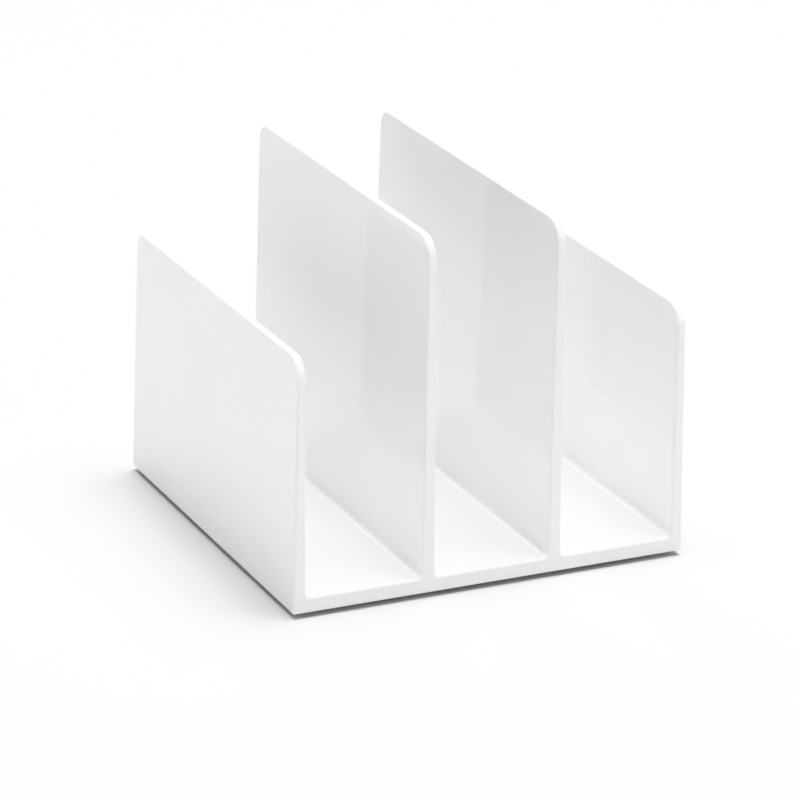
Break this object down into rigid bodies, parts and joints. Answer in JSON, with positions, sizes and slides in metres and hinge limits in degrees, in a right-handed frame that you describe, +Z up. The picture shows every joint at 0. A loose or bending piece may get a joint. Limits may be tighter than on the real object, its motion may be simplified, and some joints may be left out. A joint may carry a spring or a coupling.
{
  "type": "desktop file sorter",
  "caption": "Glossy desktop file sorter: upright fins on a square base part compartments open at front, rear and top, with the two inner fins taller, on rubber feet.",
  "frame": {"origin": "middle of the footprint, on the surface the feet stand on", "axes": "+Z up; the compartments run along Y with the open front towards -Y; the fins stand across X"},
  "size_m": [0.184, 0.184, 0.1592],
  "materials": {
    "body_plastic": "polished white, moulded",
    "foot_rubber": "matt black"
  },
  "bodies": {
    "root": {"sorter_body": "body_plastic", "foot_front_left": "foot_rubber", "foot_front_right": "foot_rubber", "foot_rear_left": "foot_rubber", "foot_rear_right": "foot_rubber"}
  },
  "joints": []
}
